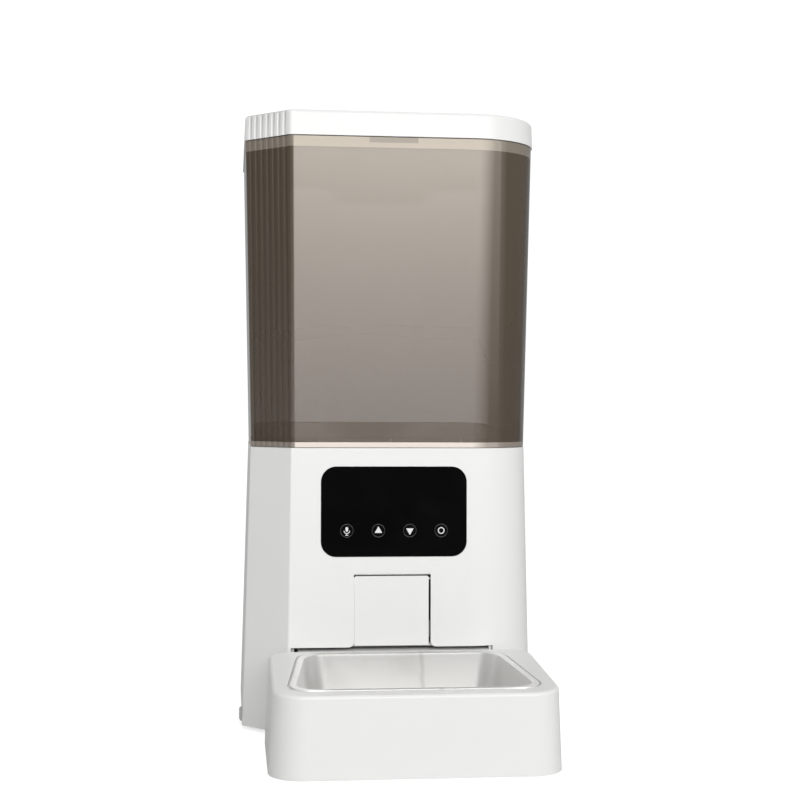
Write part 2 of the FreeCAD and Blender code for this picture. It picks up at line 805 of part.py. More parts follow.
def make_dc_jack():
    """Barrel inlet behind the round hole in the back."""
    x = jack_x + 8
    z = jack_z + 72
    y1 = back_y - housing_inset(z) - 0.8
    body = box(x - 5, x + 5, y1 - 17, y1 - 4, z - 5.5, z + 5.5)
    nose = Part.makeCylinder(4.0, 5, Vector(x, y1 - 5, z), Vector(0, 1, 0))
    body = body.fuse(nose).removeSplitter()
    body = body.cut(Part.makeCylinder(2.9, 12, Vector(x, y1 - 10, z), Vector(0, 1, 0)))
    pin = Part.makeCylinder(1.05, 9.5, Vector(x, y1 - 11, z), Vector(0, 1, 0))
    return body.fuse(pin).removeSplitter()


# ---------------------------------------------------------------- outlet flap
def pin_rod(x0, x1, radius):
    """A bar along the flap's pin, in the front face's frame."""
    return Part.makeCylinder(radius, x1 - x0, Vector(x0, flap_pin_in, flap_pin_z - foot_height),
                             Vector(1, 0, 0))


def make_outlet_flap():
    """Hanging cover of the outlet, with a barrel at its top."""
    left = outlet_x - outlet_w / 2 + 0.4
    right = outlet_x + outlet_w / 2 - 1.3
    low = shell_edge_z + 0.9
    middle = (left + right) / 2
    plate = front_plate(middle, (low + flap_pin_z + 2.0) / 2, right - left, flap_pin_z + 2.0 - low, 1.2,
                        flap_sink, flap_sink + flap_t)
    barrel = pin_rod(left + 0.5, right - 0.5, 2.2)
    bore = pin_rod(left - 2, right + 2, 1.26)
    return on_front(plate.fuse(barrel).removeSplitter().cut(bore))


def make_flap_pin():
    """Steel pin through the flap's barrel, held by two ears."""
    reach = outlet_w / 2 + 4
    pin = pin_rod(outlet_x - reach, outlet_x + reach, 1.2)
    return on_front(pin)


def make_flap_ears():
    """Two ears behind the housing's face that hold the pin's ends."""
    ears = []
    for side in (-1, 1):
        x = outlet_x + side * (outlet_w / 2 + 3.0)
        ear = box(x - 1.6, x + 1.6, wall + 0.1, wall + 5.5, flap_pin_z - foot_height - 5,
                  flap_pin_z - foot_height + 5)
        ears.append(on_front(ear.cut(pin_rod(x - 4, x + 4, 1.25))))
    return ears


# ---------------------------------------------------------------- tray and bowl
tongue_half = 60.5
tongue_reach = 46.0
tray_lean = 1.4               # how far the tray's front leans in
loft_top_z = 62.0             # the tray's walls are drawn to here and cut by the sloping top
seat_depth = 1.5
lip_t = 1.0


def tray_outline(half, front, back, corner):
    """The tray's plan: large round corners in front, smaller ones at the tower."""
    return [
        (tray_x - half, front, corner),
        (tray_x + half, front, corner),
        (tray_x + half, back, 13.0),
        (tray_x - half, back, 13.0),
    ]


def lip_outline(grow, corner):
    """The bowl's plan in its own frame: wider in front than at the tower."""
    back = lip_length + grow
    return [
        (-lip_front_half - grow, -grow, corner),
        (lip_front_half + grow, -grow, corner),
        (lip_back_half + grow, back, corner),
        (-lip_back_half - grow, back, corner),
    ]


def on_tray(shape):
    """Moves a shape from the tray top's own frame to the object's frame."""
    top_z = tray_front_z + (lip_front_y - tray_front_y) * math.tan(math.radians(tray_tilt))
    place = Placement(Vector(tray_x, lip_front_y, top_z), Rotation(Vector(1, 0, 0), tray_tilt))
    shape.Placement = place.multiply(shape.Placement)
    return shape


def above_tray(drop, low_y, high_y):
    """Everything above a plane parallel to the tray's sloping top."""
    slab = box(-120, 120, low_y - 60, high_y + 60, 0, 60)
    slab.translate(Vector(0, -tray_front_y, 0))
    slab.rotate(Vector(0, 0, 0), Vector(1, 0, 0), tray_tilt)
    slab.translate(Vector(0, tray_front_y, tray_front_z - drop))
    return slab


def make_tray_shell():
    """Hollow tray with a sloping top, the bowl's seat and the tongue that docks in the tower."""
    back = front_y - 0.7
    body = loft(tray_outline(tray_half_foot, tray_front_y, back, tray_corner), 0,
                tray_outline(tray_half_top, tray_front_y + tray_lean, back, tray_corner - 1), loft_top_z)
    body = body.cut(above_tray(0, tray_front_y, back))
    rim = [e for e in body.Edges if e.BoundBox.ZMin > tray_front_z - 2 and e.BoundBox.ZLength < 20]
    body = body.makeFillet(2.2, rim)
    inside = tray_corner - wall
    inner_back = back - wall
    inner_low = tray_outline(tray_half_foot - wall, tray_front_y + wall, inner_back, inside)
    inner_high = tray_outline(tray_half_top - wall, tray_front_y + tray_lean + wall, inner_back, inside - 1)
    hollow = loft(inner_low, -1, inner_high, loft_top_z)
    hollow = hollow.cut(above_tray(wall + 0.6, tray_front_y, back))
    body = body.cut(hollow)
    tongue = box(-tongue_half, tongue_half, back - 3, front_y + tongue_reach, 6.4, 53.4)
    hole = box(-tongue_half + 2, tongue_half - 2, back - 10, front_y + tongue_reach - 2, 5, 51.2)
    tongue = tongue.cut(hole)
    body = body.fuse(tongue).removeSplitter()
    seat = on_tray(prism(lip_outline(0.5, lip_corner), -seat_depth, 12))
    mouth = on_tray(prism(lip_outline(-3.2, lip_corner - 3), -20, 12))
    return cut_all(body, [seat, mouth])


def bowl_loft(grow, top, floor):
    """The bowl's tapering body, with its lower edge rounded."""
    shrink = 11.0
    body = loft(lip_outline(grow - shrink, lip_corner + 3), floor, lip_outline(grow, lip_corner - 3), top)
    edge = [e for e in body.Edges if e.BoundBox.ZMax < floor + 0.01]
    return body.makeFillet(8.0, edge)


def make_bowl():
    """Pressed steel bowl with a flat lip."""
    lip = prism(lip_outline(0, lip_corner), -seat_depth + 0.1, -seat_depth + 0.1 + lip_t)
    outside = bowl_loft(-4.0, -seat_depth + 0.6, -bowl_depth)
    inside = bowl_loft(-4.0 - steel, -seat_depth + 2.0, -bowl_depth + steel)
    return on_tray(lip.fuse(outside).removeSplitter().cut(inside))


# ---------------------------------------------------------------- build
os.makedirs("parts", exist_ok=True)

save("lid_shell", make_lid_shell())
save("lid_liner", make_lid_liner())
save("lid_seal", make_lid_seal())
save("desiccant_box", make_desiccant_box())
save("desiccant_pack", make_desiccant_pack())
save("desiccant_door", make_desiccant_door())
save("hopper_tank", make_hopper_tank())
save("housing_shell", make_housing_shell())
save("base_plate", make_base_plate())
save("rubber_feet", *make_feet())
save("frame_posts", *make_posts())
save("base_screws", *make_base_screws())
save("bay_liner", make_bay_liner())
save("funnel_deck", make_funnel_deck())
save("dosing_chamber", make_dosing_chamber())
save("chute", make_chute())
save("dosing_rotor", make_rotor())
save("rotor_shaft", make_rotor_shaft())
save("agitator", make_agitator())
save("drive_gear", make_drive_gear())
save("motor_pinion", make_motor_pinion())
save("gearbox", make_gearbox())
save("motor_can", make_motor_can())
save("motor_bracket", make_motor_bracket())
save("motor_screws", *make_motor_screws())
save("panel_lens", make_panel_lens())
save("panel_frame", make_panel_frame())
for key_name, key_x in zip(("key_voice", "key_up", "key_down", "key_set"), key_places()):
    save(key_name, make_key(key_x))
save("display_board", make_display_board())
save("display_module", make_display_module())
save("key_switches", *make_key_switches())
save("microphone", make_microphone())
save("main_board", make_main_board())
save("board_parts", *make_board_parts())
save("panel_ribbon", make_panel_ribbon())
save("motor_ribbon", make_motor_ribbon())
save("speaker", make_speaker())
save("battery_box", make_battery_box())
save("battery_cells", *make_battery_cells())
save("battery_contacts", *make_battery_contacts())
save("battery_door", make_battery_door())
save("dc_jack", make_dc_jack())
save("outlet_flap", make_outlet_flap())
save("flap_pin", make_flap_pin())
save("flap_ears", *make_flap_ears())
save("tray_shell", make_tray_shell())
save("bowl", make_bowl())
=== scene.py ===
# %% [markdown]
# # An automatic dry-food feeder
# The engineering model gives this lesson its skeleton: every moulding, screw and gear is already in its
# place, in metres, with +Z up and the tray towards -Y. What is left is a finish designer's work: give
# each plastic, steel and rubber its own surface, model the pieces that are drawn or pressed rather than
# machined, and light the result softly on a pale floor.

# %% Load the frame
import bpy
import bmesh
import json
import math
from mathutils import Euler, Matrix, Vector

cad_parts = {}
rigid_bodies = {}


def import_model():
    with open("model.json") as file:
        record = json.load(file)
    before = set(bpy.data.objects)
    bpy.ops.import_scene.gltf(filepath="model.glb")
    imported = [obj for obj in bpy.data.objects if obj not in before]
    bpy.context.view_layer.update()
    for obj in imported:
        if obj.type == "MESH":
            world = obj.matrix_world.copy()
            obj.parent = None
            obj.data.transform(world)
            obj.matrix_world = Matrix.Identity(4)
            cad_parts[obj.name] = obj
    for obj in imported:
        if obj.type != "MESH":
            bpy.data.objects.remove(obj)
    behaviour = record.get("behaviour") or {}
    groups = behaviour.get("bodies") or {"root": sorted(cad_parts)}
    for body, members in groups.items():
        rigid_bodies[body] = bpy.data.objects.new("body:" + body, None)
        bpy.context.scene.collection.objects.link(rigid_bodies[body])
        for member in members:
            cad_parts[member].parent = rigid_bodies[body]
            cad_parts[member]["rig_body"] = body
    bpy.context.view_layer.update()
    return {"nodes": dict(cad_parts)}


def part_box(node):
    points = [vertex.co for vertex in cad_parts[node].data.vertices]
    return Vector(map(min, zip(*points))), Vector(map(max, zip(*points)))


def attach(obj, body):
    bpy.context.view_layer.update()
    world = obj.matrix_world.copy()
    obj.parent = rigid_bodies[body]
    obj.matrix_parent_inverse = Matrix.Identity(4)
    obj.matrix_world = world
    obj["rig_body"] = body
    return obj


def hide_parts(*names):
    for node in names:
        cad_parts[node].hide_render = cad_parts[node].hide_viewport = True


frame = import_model()
nodes = frame["nodes"]

# %% [markdown]
# ## Numbers that the whole lesson shares
# A millimetre is the natural unit of this object and a metre is the scene's, so one constant turns the
# first into the second. Everything that must line up with the frame is measured from the frame's own
# boxes.

# %% Units and boxes
MM = 0.001
tray_low, tray_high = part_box("tray_shell")
bowl_low, bowl_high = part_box("bowl")
tank_low, tank_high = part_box("hopper_tank")
foot_height = 2.0 * MM
front_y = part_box("housing_shell")[0][1]         # the tower's front, at its foot
lean = math.atan(4.65 / 179.0)                  # the housing's front leans back 4.65 mm over 179 mm
flat_corner = 27.9 * MM                         # the flat corner, measured along a side
print("bowl", [round(v / MM, 1) for v in bowl_low], [round(v / MM, 1) for v in bowl_high])

# %% [markdown]
# ## Shader maths as plain Python
# A material is a graph of nodes, and a graph is tedious to wire by hand. A small class wraps one output
# socket and overloads the arithmetic operators, so `0.4 + 0.1 * grain` adds its own Math nodes. A second
# class holds one material and makes every other kind of node through a single method.


# %% The socket class
class Wire:
    """One output socket that can be added, multiplied and compared like a number."""

    def __init__(self, recipe, socket):
        self.recipe = recipe
        self.socket = socket

    def math(self, operation, other, swapped=False):
        first, second = (other, self) if swapped else (self, other)
        return self.recipe.node("ShaderNodeMath", {"operation": operation}, {0: first, 1: second})

    def __add__(self, other):
        return self.math("ADD", other)

    __radd__ = __add__

    def __sub__(self, other):
        return self.math("SUBTRACT", other)

    def __rsub__(self, other):
        return self.math("SUBTRACT", other, True)

    def __mul__(self, other):
        return self.math("MULTIPLY", other)

    __rmul__ = __mul__

    def __truediv__(self, other):
        return self.math("DIVIDE", other)

    def least(self, other):
        return self.math("MINIMUM", other)

    def most(self, other):
        return self.math("MAXIMUM", other)

    def clip(self):
        """Nothing below zero."""
        return self.most(0.0)

    def __gt__(self, other):
        return self.math("GREATER_THAN", other)

    def __lt__(self, other):
        return self.math("LESS_THAN", other)


# %% The material class
class Recipe:
    """One material, or the sky: its shader and everything wired into it."""

    def __init__(self, name, kind="materials", shader="Principled BSDF"):
        self.material = getattr(bpy.data, kind).new(name)
        self.material.use_nodes = True
        self.tree = self.material.node_tree
        self.shader = self.tree.nodes[shader]

    def node(self, kind, settings=None, inputs=None, output=0):
        """Adds a node, applies its settings, then fills its sockets, and returns one output."""
        made = self.tree.nodes.new(kind)
        for key, value in (settings or {}).items():
            if key == "stops":
                ramp = made.color_ramp.elements
                while len(ramp) < len(value):
                    ramp.new(0.5)
                for element, (position, level) in zip(ramp, value):
                    element.position = position
                    element.color = (level, level, level, 1)
            else:
                setattr(made, key, value)
        for key, value in (inputs or {}).items():
            if isinstance(value, Wire):
                self.tree.links.new(value.socket, made.inputs[key])
            else:
                made.inputs[key].default_value = value
        return Wire(self, made.outputs[output])

    def place(self):
        """Position on the piece, in metres."""
        return self.node("ShaderNodeTexCoord", output="Object")

    def axis(self, letter):
        """One coordinate of the position."""
        return self.node("ShaderNodeSeparateXYZ", inputs={0: self.place()}, output=letter)

    def stretched(self, x, y, z):
        """Position with each axis scaled on its own, for grain that runs one way."""
        return self.node("ShaderNodeMapping", inputs={"Vector": self.place(), "Scale": (x, y, z)})

    def noise(self, scale, detail=2.0, vector=None):
        """Soft random pattern between 0 and 1."""
        where = vector or self.place()
        return self.node("ShaderNodeTexNoise", inputs={"Vector": where, "Scale": scale, "Detail": detail})

    def cells(self, scale):
        """Distance to the nearest of many scattered points."""
        return self.node("ShaderNodeTexVoronoi", inputs={"Vector": self.place(), "Scale": scale})

    def ramp(self, value, stops):
        """Remaps a value through grey stops."""
        return self.node("ShaderNodeValToRGB", {"stops": stops}, {0: value})

    def blend(self, factor, first, second):
        """Mixes two colours, each of which may be a wire."""
        return self.node("ShaderNodeMix", {"data_type": "RGBA"}, {0: factor, 6: first, 7: second},
                         output=2)

    def shade(self, factor, first, second):
        """A colour between two plain colours."""
        return self.blend(factor, self.tint(first), self.tint(second))

    def tint(self, colour):
        """A plain colour as a socket takes it."""
        return (*colour, 1.0)

    def facing(self, blend):
        """0 where the surface faces the eye, 1 at its grazing edge."""
        return self.node("ShaderNodeLayerWeight", inputs={"Blend": blend}, output="Facing")

    def set(self, **values):
        """Feeds the shader: a wire is linked, a number is set on the socket."""
        for key, value in values.items():
            name = key.replace("_", " ").title().replace("Ior", "IOR")
            socket = self.shader.inputs[name]
            if isinstance(value, Wire):
                self.tree.links.new(value.socket, socket)
            else:
                socket.default_value = value
        return self

    def relief(self, height, depth, strength=1.0):
        """Turns a height pattern into fine relief."""
        bump = self.node("ShaderNodeBump", inputs={"Height": height, "Distance": depth,
                                                   "Strength": strength})
        return self.set(normal=bump)


def clothe(material, *names):
    """Gives carried-over nodes their material."""
    for name in names:
        for slot in nodes[name].material_slots:
            slot.material = material
    print(material.name, "->", ", ".join(names))


# %% [markdown]
# ## White mouldings
# The housing, the lid, the tray and the outlet cover are ABS from steel tools. The tool's skin is spark
# eroded, so the plastic isn't a mirror: it has a grain finer than a millimetre, and its gloss wanders a
# little where the melt cooled faster. A fine noise drives the relief, and a slow one drives gloss and
# tone.


# %% Satin white
def white_plastic(name, light, dark, gloss, grain_depth):
    recipe = Recipe(name)
    grain = recipe.noise(1500, 2)
    flow = recipe.noise(11, 3)
    dust_and_painted_shade = recipe.ramp(recipe.cells(420), [(0.0, 1.0), (0.06, 0.0)])
    tone = recipe.shade(flow, light, dark)
    recipe.set(base_color=tone, roughness=gloss + 0.10 * (flow - 0.5) + 0.06 * (grain - 0.5) + 0.08 * dust_and_painted_shade)
    recipe.set(ior=1.53, coat_weight=0.12, coat_roughness=0.25)
    recipe.relief(grain, grain_depth * MM, 0.5)
    return recipe.material


shell_white = white_plastic("satin_white_shell", (0.885, 0.885, 0.875), (0.865, 0.865, 0.853), 0.34, 0.035)
inner_white = white_plastic("matte_white_inside", (0.86, 0.855, 0.835), (0.82, 0.815, 0.79), 0.50, 0.06)
# The tray's white is set a shade darker than the housing's: painted shade for the lower light on it.
tray_white_painted_shade = white_plastic("satin_white_tray", (0.845, 0.845, 0.835), (0.825, 0.825, 0.813), 0.36, 0.035)
clothe(shell_white, "housing_shell", "outlet_flap", "battery_door")
clothe(tray_white_painted_shade, "tray_shell")
clothe(inner_white, "lid_liner", "dosing_chamber", "chute", "bay_liner", "desiccant_box", "desiccant_door")

# %% [markdown]
# ## The lid's ribbed corner
# The lid is nearly the housing's white, set a shade darker as painted shade, and its flat corner carries
# narrow grooves whose bottoms are painted grey as painted shade. On the flat corner the distances from
# the left and the front faces add up to one number, and the sum grows with depth, so it tells the bottom
# of a groove from the top of a rib.


# %% Lid white
def lid_white():
    recipe = Recipe("satin_white_lid")
    low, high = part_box("lid_shell")
    grain = recipe.noise(1500, 2)
    flow = recipe.noise(11, 3)
    from_left = recipe.axis("X") - low[0]
    from_front = recipe.axis("Y") - low[1]
    depth = from_left + from_front - flat_corner
    # Painted shade: the bottoms of the grooves are painted grey.
    groove_shade = recipe.ramp(depth / (4 * MM), [(0.0, 0.0), (0.18, 0.0), (0.40, 1.0), (0.55, 1.0), (0.60, 0.0)])
    reach = flat_corner - 1.2 * MM
    corner = (from_left < reach) * (from_front < reach)
    # Painted shade: the lid's white is a shade darker than the housing's.
    white = recipe.shade(flow, (0.865, 0.865, 0.855), (0.845, 0.845, 0.833))
    recipe.set(base_color=recipe.blend(0.6 * groove_shade * corner, white, recipe.tint((0.50, 0.50, 0.49))))
    recipe.set(roughness=0.34 + 0.10 * (flow - 0.5) + 0.06 * (grain - 0.5), ior=1.53)
    recipe.set(coat_weight=0.12, coat_roughness=0.25)
    recipe.relief(grain, 0.035 * MM, 0.5)
    return recipe.material


clothe(lid_white(), "lid_shell")

# %% [markdown]
# ## The hopper's floor
# The white floor is painted darker where it meets the tank, as painted shade in that corner. The nearest
# of the four sides and the flat corner tells how far a point lies from that joint, and the painted shade
# fades over a centimetre.


# %% Shaded deck
painted_shade_width = 12 * MM


def shaded_deck():
    recipe = Recipe("matte_white_deck")
    low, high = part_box("funnel_deck")
    from_left = recipe.axis("X") - low[0]
    from_right = high[0] - recipe.axis("X")
    from_front = recipe.axis("Y") - low[1]
    from_back = high[1] - recipe.axis("Y")
    from_flat = (from_left + from_front - flat_corner) * math.sqrt(0.5)
    inwards = from_left.least(from_right).least(from_back).least(from_flat)
    # Painted shade: the floor darkens towards the tank's walls and its flat corner.
    dust_and_painted_shade = recipe.ramp(inwards / painted_shade_width, [(0.0, 1.0), (0.35, 0.85), (1.0, 0.0)])
    grain = recipe.noise(900, 2)
    white = recipe.shade(recipe.noise(11, 3), (0.93, 0.925, 0.905), (0.90, 0.895, 0.87))
    recipe.set(base_color=recipe.blend(0.60 * dust_and_painted_shade, white, recipe.tint((0.20, 0.17, 0.14))))
    recipe.set(roughness=0.50 + 0.06 * (grain - 0.5) + 0.2 * dust_and_painted_shade)
    recipe.relief(grain, 0.06 * MM, 0.5)
    return recipe.material


clothe(shaded_deck(), "funnel_deck")

# %% [markdown]
# ## The smoked hopper
# The tank is clear plastic with a brown-grey dye. A refracting glass would be the physical choice, but
# light would then only reach the white floor inside by chance paths, which stay noisy for a long time. A
# dyed surface that lets part of the light straight through gives the same picture cheaply: each wall is
# crossed twice, so its two faces share the dye. The tone is painted darker low down and lighter high up,
# with the opacity rising with it, as painted shade and light for how much light comes in; the dye is
# denser in the large round corner, behind the ribs and at a grazing view, where the way through is longer.
# The lid's skirt shows as a pale band on top and the deck's rim as a thin one below.


# %% Where the tank's wall is thick
tank_lean = 4.25 * MM         # how far the tank's foot lies inside its top
tank_skin = 2.6 * MM          # a little more than its wall
groove_depth = 2.2 * MM
corner_area = 120 * MM * MM   # sets how fast the round corner darkens
lead_from = 40 * MM           # the darkening starts this far from the right side,
lead_run = 10 * MM            # grows over this distance,
lead_depth = 6 * MM           # and is kept to this depth behind the front
thick_reach = 100 * MM        # the round corner's thickness has gone this far back


def thick_parts(recipe, height):
    """0 on the tank's flat sides, 1 in its large round corner and behind the ribs."""
    lean_in = (1 - height) * tank_lean
    from_left = recipe.axis("X") - tank_low[0] - lean_in
    from_right = tank_high[0] - lean_in - recipe.axis("X")
    from_front = recipe.axis("Y") - tank_low[1] - lean_in
    bend = (from_front - tank_skin).clip() * (from_right + 3 * MM).clip() / corner_area
    bend = recipe.ramp(bend, [(0.0, 0.0), (0.05, 0.16), (0.16, 0.50), (0.42, 0.88), (0.80, 1.0)])
    lead = recipe.ramp((lead_from - from_right) / lead_run, [(0.0, 0.0), (1.0, 0.72)])
    bend = bend.most(lead * (from_front < lead_depth))
    near = recipe.ramp(from_front / thick_reach, [(0.0, 1.0), (0.44, 1.0), (0.62, 0.0)])
    ribs_at = flat_corner - (2 - math.sqrt(2)) * lean_in + groove_depth
    ribs = recipe.ramp((ribs_at - from_left - from_front) / (2 * MM), [(0.0, 0.0), (0.5, 1.0)])
    grazing = recipe.ramp(recipe.facing(0.5), [(0.0, 0.0), (0.50, 0.0), (0.74, 1.0)])
    return (bend * near).most(ribs).most(grazing)


# %% Smoked plastic
skirt_depth = 6.6 * MM
deck_rim = 3.2 * MM
latch_depth = 3.4 * MM
latch_left = -17 * MM
latch_right = 14 * MM


def smoked_plastic():
    recipe = Recipe("smoked_clear")
    low = tank_low[2]
    high = tank_high[2]
    across = recipe.axis("X")
    level = recipe.axis("Z")
    height = (level - low) / (high - low)
    cloud = recipe.noise(7, 2)
    scuff = recipe.noise(90, 4, recipe.stretched(1, 1, 0.12))
    thick = thick_parts(recipe, height)
    skirt = level > high - skirt_depth
    sill = level < low + deck_rim
    latch = (across > latch_left) * (across < latch_right) * (level > high - latch_depth)
    # Painted light and shade: the tone is dark at the foot and light at the top.
    lit = recipe.shade(height + 0.12 * (cloud - 0.5), (0.228, 0.186, 0.151), (0.67, 0.60, 0.53))
    edge = recipe.ramp(recipe.facing(0.5), [(0.0, 0.0), (0.55, 0.0), (0.80, 1.0)])
    deep = recipe.shade(edge, (0.104, 0.081, 0.060), (0.044, 0.033, 0.023))
    cap = recipe.shade(latch, (0.66, 0.59, 0.50), (0.48, 0.43, 0.37))
    backed = recipe.blend(sill, cap, recipe.tint((0.93, 0.84, 0.76)))
    rim = (skirt + sill) * (1 - 0.72 * thick)
    recipe.set(base_color=recipe.blend(rim, recipe.blend(thick, lit, deep), backed))
    # The opacity's rise towards the top is part of the same painted light.
    dye_and_painted_light = 0.42 + 0.18 * height + 0.04 * (cloud - 0.5) + 0.32 * thick
    recipe.set(alpha=dye_and_painted_light + (0.93 - dye_and_painted_light) * rim, roughness=0.14 + 0.06 * (scuff - 0.5), ior=1.18)
    return recipe.material


clothe(smoked_plastic(), "hopper_tank")

# %% [markdown]
# ## Gloss black window and keys
# The window is back-painted clear plastic: black with a deep polish. Nothing this smooth stays clean, so
# fine smudges widen the gloss here and there. The keys are the same plastic, a shade lighter.


# %% Gloss black
def black_gloss(name, depth):
    recipe = Recipe(name)
    smudge = recipe.ramp(recipe.noise(38, 5), [(0.45, 0.0), (0.75, 1.0)])
    tone = recipe.shade(smudge, (depth, depth, depth * 1.05), (depth * 1.6, depth * 1.6, depth * 1.7))
    recipe.set(base_color=tone, roughness=0.09 + 0.10 * smudge, ior=1.14)
    return recipe.material


clothe(black_gloss("black_window", 0.0015), "panel_lens")
clothe(black_gloss("black_key_cap", 0.003), "key_voice", "key_up", "key_down", "key_set")


# %% [markdown]
# ## Metals
# Pressed stainless, zinc-plated brackets and nickel contacts differ in tone and in the direction of their
# grain. All of them are a metallic surface whose roughness is streaked along one axis.


# %% Metal finishes
def metal(name, light, dark, gloss, streak, depth):
    recipe = Recipe(name)
    lines = recipe.noise(260, 3, recipe.stretched(*streak))
    stain = recipe.noise(24, 3)
    recipe.set(base_color=recipe.shade(stain, light, dark), metallic=1.0)
    recipe.set(roughness=gloss + 0.14 * (lines - 0.5) + 0.05 * (stain - 0.5))
    recipe.relief(lines, depth * MM, 0.4)
    return recipe.material


clothe(metal("zinc_plated", (0.62, 0.62, 0.60), (0.52, 0.52, 0.51), 0.30, (1, 1, 0.05), 0.02),
       "motor_can", "motor_bracket", "rotor_shaft", "flap_pin", "motor_screws", "base_screws")
clothe(metal("nickel_contact", (0.72, 0.70, 0.65), (0.62, 0.60, 0.55), 0.24, (1, 0.05, 1), 0.02),
       "battery_contacts")


# %% [markdown]
# ## Rubbers and plain mouldings
# Feet, seal, dosing wheel, gears and frames are matte. What sets them apart is tone, grain and how much
# light gets into them: silicone and nylon are a little translucent, so they get some subsurface
# scattering.


# %% Matte mouldings
def matte(name, light, dark, gloss, grain_scale, depth, glow=0.0):
    recipe = Recipe(name)
    grain = recipe.noise(grain_scale, 3)
    cloud = recipe.noise(16, 2)
    recipe.set(base_color=recipe.shade(cloud, light, dark))
    recipe.set(roughness=gloss + 0.12 * (grain - 0.5), subsurface_weight=glow, subsurface_scale=0.004)
    recipe.relief(grain, depth * MM, 0.5)
    return recipe.material


clothe(matte("seal_silicone", (0.78, 0.78, 0.76), (0.70, 0.70, 0.68), 0.45, 700, 0.03, 0.25), "lid_seal")
clothe(matte("foot_rubber", (0.045, 0.045, 0.045), (0.03, 0.03, 0.03), 0.75, 900, 0.06), "rubber_feet")
clothe(matte("wheel_silicone", (0.46, 0.48, 0.49), (0.40, 0.42, 0.43), 0.55, 600, 0.05, 0.2),
       "dosing_rotor", "agitator")
clothe(matte("light_grey_frame", (0.60, 0.60, 0.58), (0.55, 0.55, 0.53), 0.55, 1100, 0.05),
       "base_plate", "frame_posts", "panel_frame", "flap_ears", "battery_box")
clothe(matte("natural_nylon", (0.80, 0.78, 0.70), (0.74, 0.72, 0.64), 0.42, 500, 0.03, 0.3),
       "drive_gear", "motor_pinion")
clothe(matte("black_moulding", (0.030, 0.030, 0.032), (0.022, 0.022, 0.024), 0.48, 900, 0.05),
       "gearbox", "display_module", "key_switches", "board_parts", "speaker", "microphone", "dc_jack")


# %% [markdown]
# ## Boards, flat cables and cells
# A circuit board is green lacquer over copper tracks, which show as slightly paler and raised lines. A
# brick pattern gives straight tracks that turn square corners. Flat cables carry fine parallel
# conductors, and each cell has a printed sleeve with a plain band.


# %% Board, cable and sleeve
def board_lacquer():
    recipe = Recipe("board_lacquer")
    tracks = recipe.node("ShaderNodeTexBrick", {"offset": 0.37, "squash": 0.8},
                         {"Vector": recipe.stretched(1, 1, 1), "Scale": 90.0, "Mortar Size": 0.018,
                          "Mortar Smooth": 0.1, "Color1": (0, 0, 0, 1), "Color2": (0, 0, 0, 1),
                          "Mortar": (1, 1, 1, 1)})
    recipe.set(base_color=recipe.shade(tracks, (0.012, 0.085, 0.040), (0.035, 0.17, 0.075)))
    recipe.set(roughness=0.30 + 0.08 * recipe.noise(200), coat_weight=0.3)
    recipe.relief(tracks, 0.05 * MM, 0.6)
    return recipe.material


def flat_cable():
    recipe = Recipe("flat_cable")
    height = recipe.axis("Z")
    pitch = 1.27 * MM
    stripe = recipe.node("ShaderNodeMath", {"operation": "SINE"}, {0: height * (2 * math.pi / pitch)})
    recipe.set(base_color=recipe.shade(0.5 + 0.5 * stripe, (0.42, 0.42, 0.41), (0.58, 0.58, 0.56)))
    recipe.set(roughness=0.45 + 0.1 * recipe.noise(300))
    recipe.relief(stripe, 0.1 * MM, 0.6)
    return recipe.material


def cell_sleeve():
    recipe = Recipe("cell_sleeve")
    low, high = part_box("battery_cells")
    level = (recipe.axis("Z") - low[2]) / (high[2] - low[2])
    band = (level > 0.70) * (level < 0.93)
    recipe.set(base_color=recipe.shade(band, (0.030, 0.075, 0.115), (0.62, 0.60, 0.55)))
    recipe.set(roughness=0.26 + 0.08 * recipe.noise(120), coat_weight=0.5)
    return recipe.material


clothe(board_lacquer(), "display_board", "main_board")
clothe(flat_cable(), "panel_ribbon", "motor_ribbon")
clothe(cell_sleeve(), "battery_cells")

# %% [markdown]
# ## Tools for modelling by hand
# Operators act on whatever is selected, and loading the frame leaves its nodes selected. So every new
# piece starts by deselecting, and faces or edges are picked in code by where they are or which way they
# face.


# %% Selection helpers
def deselect():
    """Nothing selected, nothing active."""
    for thing in bpy.context.view_layer.objects:
        thing.select_set(False)
    bpy.context.view_layer.objects.active = None


def take(piece):
    """Selects one piece and makes it the active one."""
    deselect()
    piece.select_set(True)
    bpy.context.view_layer.objects.active = piece


def block(place, size):
    """A box at its place, with its size in its mesh."""
    deselect()
    bpy.ops.mesh.primitive_cube_add(size=1, location=place)
    made = bpy.context.active_object
    made.scale = size
    bpy.ops.object.transform_apply(location=True, rotation=False, scale=True)
    return made


def rises(edge, height):
    """True for an edge that runs up a block, rather than round its top or its foot."""
    return abs(edge.verts[0].co.z - edge.verts[1].co.z) > 0.5 * height


def edit(piece, kind="FACE"):
    """Enters edit mode with nothing picked."""
    take(piece)
    bpy.ops.object.mode_set(mode="EDIT")
    bpy.ops.mesh.select_mode(type=kind)
    bpy.ops.mesh.select_all(action="DESELECT")


def pick(piece, test, kind="faces"):
    """Selects the faces, edges or vertices that pass a test."""
    shape = bmesh.from_edit_mesh(piece.data)
    shape.normal_update()
    count = 0
    for part in getattr(shape, kind):
        chosen = bool(test(part))
        part.select_set(chosen)
        count += chosen
    if kind == "verts":
        shape.select_flush(True)
    bmesh.update_edit_mesh(piece.data)
    return count


def leave():
    """Back to object mode."""
    bpy.ops.object.mode_set(mode="OBJECT")


def apply_all(piece):
    """Applies every modifier in turn."""
    take(piece)
    for modifier in list(piece.modifiers):
        bpy.ops.object.modifier_apply(modifier=modifier.name)


